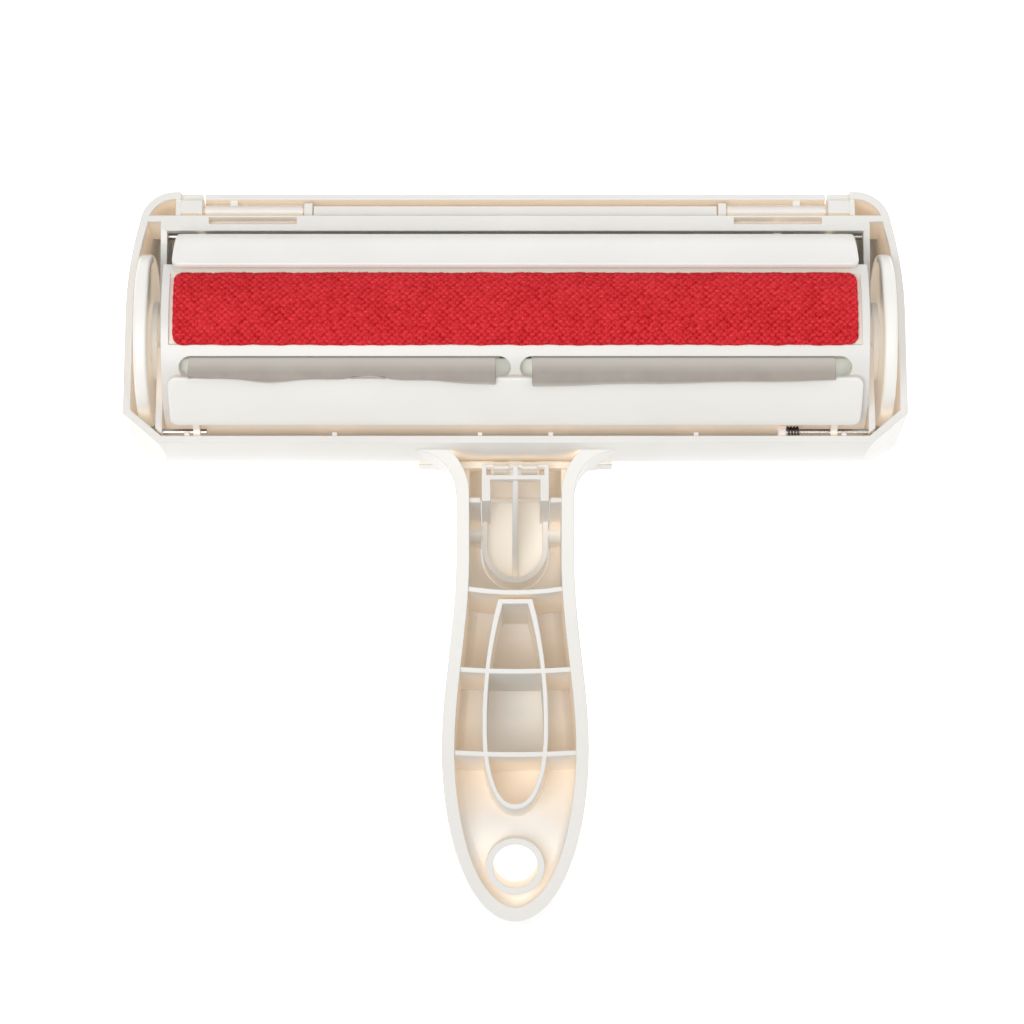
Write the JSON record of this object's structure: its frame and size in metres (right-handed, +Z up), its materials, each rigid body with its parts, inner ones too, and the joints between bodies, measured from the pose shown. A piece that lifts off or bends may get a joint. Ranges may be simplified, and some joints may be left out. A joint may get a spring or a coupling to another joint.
{
  "type": "lint roller",
  "caption": "Hand-held reusable lint roller: swinging drum with fabric strips and rubber flaps, scraper plates, clip-on dust cover, release button and hollow handle.",
  "frame": {"origin": "on the table under the middle of the tool's bounding box, as it lies on its cover with the working face up", "axes": "+X along the drum to the right, +Y from the handle towards the head, +Z up from the table"},
  "size_m": [0.2, 0.193, 0.0598],
  "materials": {
    "housing_plastic": "satin moulded ABS",
    "cover_plastic": "satin moulded ABS",
    "button_plastic": "satin moulded ABS",
    "drum_plastic": "satin moulded ABS",
    "bearing_plastic": "smooth acetal",
    "disc_plastic": "satin moulded ABS",
    "scraper_plastic": "satin moulded ABS",
    "red_pile": "short directional red pile",
    "flap_rubber": "soft grey rubber",
    "steel": "plain steel",
    "spring_steel": "dark spring steel"
  },
  "bodies": {
    "housing": {"housing": "housing_plastic", "drum_bearing_left": "bearing_plastic", "drum_bearing_right": "bearing_plastic", "upper_scraper_pins": "steel", "lower_scraper_pins": "steel", "upper_scraper_spring": "spring_steel", "lower_scraper_spring": "spring_steel"},
    "drum": {"drum_shell": "drum_plastic", "lint_strip_wide": "red_pile", "lint_strip_narrow": "red_pile", "flap_left": "flap_rubber", "flap_right": "flap_rubber", "flap_clamp_left": "drum_plastic", "flap_clamp_right": "drum_plastic", "end_cap_left": "drum_plastic", "end_cap_right": "drum_plastic", "end_disc_left": "disc_plastic", "end_disc_right": "disc_plastic", "disc_screws": "steel"},
    "upper_scraper": {"upper_scraper": "scraper_plastic"},
    "lower_scraper": {"lower_scraper": "scraper_plastic"},
    "dust_cover": {"dust_cover": "cover_plastic"},
    "release_button": {"release_button": "button_plastic"}
  },
  "joints": [
    {"name": "drum_swing", "type": "hinge", "parent": "housing", "child": "drum", "pos_m": [0, 0.0579, 0.0322], "axis": [-1, 0, 0], "range_deg": [0, 54]},
    {"name": "upper_scraper_pivot", "type": "hinge", "parent": "housing", "child": "upper_scraper", "pos_m": [0, 0.085, 0.02983], "axis": [-1, 0, 0], "range_deg": [0, 2], "stiffness_Nm_per_rad": 0.02, "springref_deg": -11.46},
    {"name": "lower_scraper_pivot", "type": "hinge", "parent": "housing", "child": "lower_scraper", "pos_m": [0, 0.034, 0.04518], "axis": [1, 0, 0], "range_deg": [0, 2], "stiffness_Nm_per_rad": 0.02, "springref_deg": -11.46},
    {"name": "cover_hinge", "type": "hinge", "parent": "housing", "child": "dust_cover", "pos_m": [0, 0.09172, 0.02821], "axis": [1, 0, 0], "range_deg": [0, 92]},
    {"name": "button_press", "type": "hinge", "parent": "housing", "child": "release_button", "pos_m": [0, 0.00816, 0.0212], "axis": [-1, 0, 0], "range_deg": [0, 2.2], "stiffness_Nm_per_rad": 0.5, "springref_deg": -2.86}
  ]
}
